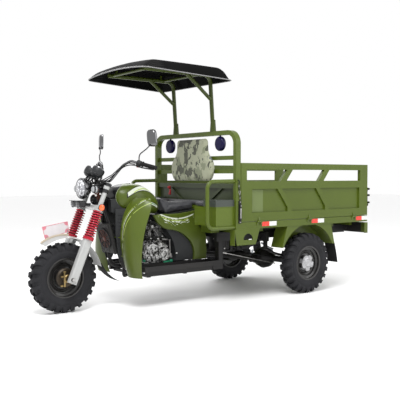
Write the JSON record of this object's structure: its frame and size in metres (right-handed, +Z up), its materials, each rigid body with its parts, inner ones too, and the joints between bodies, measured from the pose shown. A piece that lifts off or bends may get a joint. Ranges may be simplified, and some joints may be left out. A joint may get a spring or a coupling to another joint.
{
  "type": "cargo motor tricycle",
  "caption": "Motor tricycle for cargo with a steered front wheel, a rider's seat under a canopy and a drop-sided load bed on hinges.",
  "frame": {"origin": "on the ground in the middle of the bounding box's footprint", "axes": "+Z up, +Y towards the rear of the vehicle, +X towards the rider's left"},
  "size_m": [1.292, 3.4584, 2.1036],
  "materials": {
    "frame_black": "satin",
    "body_green": "semi-gloss",
    "silver_paint": "semi-gloss",
    "spring_red": "gloss",
    "engine_alloy": "cast",
    "steel": "satin",
    "chrome": "polished",
    "black_plastic": "grained",
    "gloss_black": "gloss",
    "rubber": "matte",
    "tyre": "matte",
    "seat_vinyl": "grained",
    "camouflage_fabric": "woven",
    "lamp_clear": "polished",
    "lamp_blue": "gloss",
    "lamp_red": "gloss"
  },
  "bodies": {
    "chassis": {"frame_backbone": "frame_black", "frame_side_tubes": "frame_black", "frame_cross_tubes": "frame_black", "bed_rails": "frame_black", "bed_cross_members": "body_green", "engine": "engine_alloy", "exhaust": "frame_black", "radiator": "gloss_black", "drive_line": "frame_black", "rear_axle": "frame_black", "leaf_springs": "frame_black", "fuel_tank": "body_green", "tank_shrouds": "black_plastic", "driver_seat": "seat_vinyl", "side_covers": "body_green", "under_seat_panel": "black_plastic", "leg_shields": "body_green", "footboards": "frame_black", "seat_box": "body_green", "bench_cushion": "seat_vinyl", "armrests": "body_green", "headboard": "body_green", "backrest": "camouflage_fabric", "canopy_frame": "body_green", "canopy": "black_plastic", "hoop_lamps": "lamp_blue", "bed_floor": "body_green", "bed_brackets": "body_green", "rear_mudguards": "body_green", "rear_mud_flaps": "rubber", "rear_bumper": "body_green", "tail_lamps": "lamp_red"},
    "steering": {"fork_yokes": "silver_paint", "fork_legs": "silver_paint", "fork_springs": "spring_red", "front_axle": "steel", "handlebar": "chrome", "grips": "rubber", "mirrors": "chrome", "headlamp": "gloss_black", "gauges": "gloss_black", "turn_signals": "lamp_clear", "lamp_pod": "gloss_black", "control_cables": "rubber", "front_mudguard": "silver_paint", "front_mud_flap": "rubber"},
    "front_wheel": {"front_tyre": "tyre", "front_rim": "gloss_black"},
    "rear_wheel_left": {"rear_tyre_left": "tyre", "rear_rim_left": "gloss_black"},
    "rear_wheel_right": {"rear_tyre_right": "tyre", "rear_rim_right": "gloss_black"},
    "side_board_left": {"side_board_left": "body_green"},
    "side_board_right": {"side_board_right": "body_green"},
    "tailgate": {"tailgate": "body_green"}
  },
  "joints": [
    {"name": "steering", "type": "hinge", "parent": "chassis", "child": "steering", "pos_m": [0, -1.10682, 0.91427], "axis": [0, 0.3907, 0.9205], "range_deg": [-38, 38]},
    {"name": "front_wheel_spin", "type": "hinge", "parent": "steering", "child": "front_wheel", "pos_m": [0, -1.44175, 0.2875], "axis": [1, 0, 0], "continuous": true},
    {"name": "rear_wheel_left_spin", "type": "hinge", "parent": "chassis", "child": "rear_wheel_left", "pos_m": [0.565, 0.83625, 0.2875], "axis": [1, 0, 0], "continuous": true},
    {"name": "rear_wheel_right_spin", "type": "hinge", "parent": "chassis", "child": "rear_wheel_right", "pos_m": [-0.565, 0.83625, 0.2875], "axis": [1, 0, 0], "continuous": true},
    {"name": "side_board_left_drop", "type": "hinge", "parent": "chassis", "child": "side_board_left", "pos_m": [0.638, 0.83325, 0.715], "axis": [0, 1, 0], "range_deg": [0, 175]},
    {"name": "side_board_right_drop", "type": "hinge", "parent": "chassis", "child": "side_board_right", "pos_m": [-0.638, 0.83325, 0.715], "axis": [0, -1, 0], "range_deg": [0, 175]},
    {"name": "tailgate_drop", "type": "hinge", "parent": "chassis", "child": "tailgate", "pos_m": [0, 1.72125, 0.715], "axis": [-1, 0, 0], "range_deg": [0, 175]}
  ]
}
